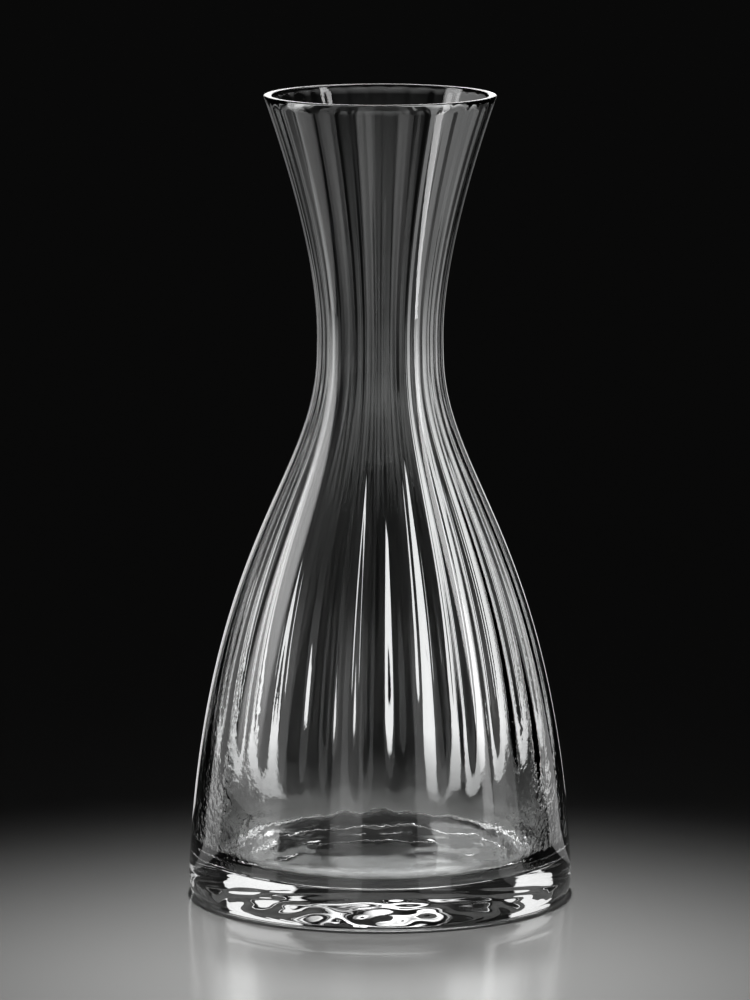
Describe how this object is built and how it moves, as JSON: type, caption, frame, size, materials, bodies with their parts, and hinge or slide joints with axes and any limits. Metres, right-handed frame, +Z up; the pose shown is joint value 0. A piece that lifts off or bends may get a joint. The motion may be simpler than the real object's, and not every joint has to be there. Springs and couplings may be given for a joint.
{
  "type": "decanter",
  "caption": "Clear glass decanter with a narrow neck, flared mouth, broad bowl and thick base, its wall ribbed inside, for serving wine or water.",
  "frame": {"origin": "centre of the standing ring, on the table", "axes": "+Z up the axis of revolution, towards the mouth; +X through the crest of a rib, +Y midway between two ribs"},
  "size_m": [0.1292, 0.1292, 0.27],
  "materials": {
    "blown_glass": "clear, fire-polished",
    "base_glass": "clear, fire-polished"
  },
  "bodies": {
    "root": {"ribbed_body": "blown_glass", "heavy_base": "base_glass"}
  },
  "joints": []
}
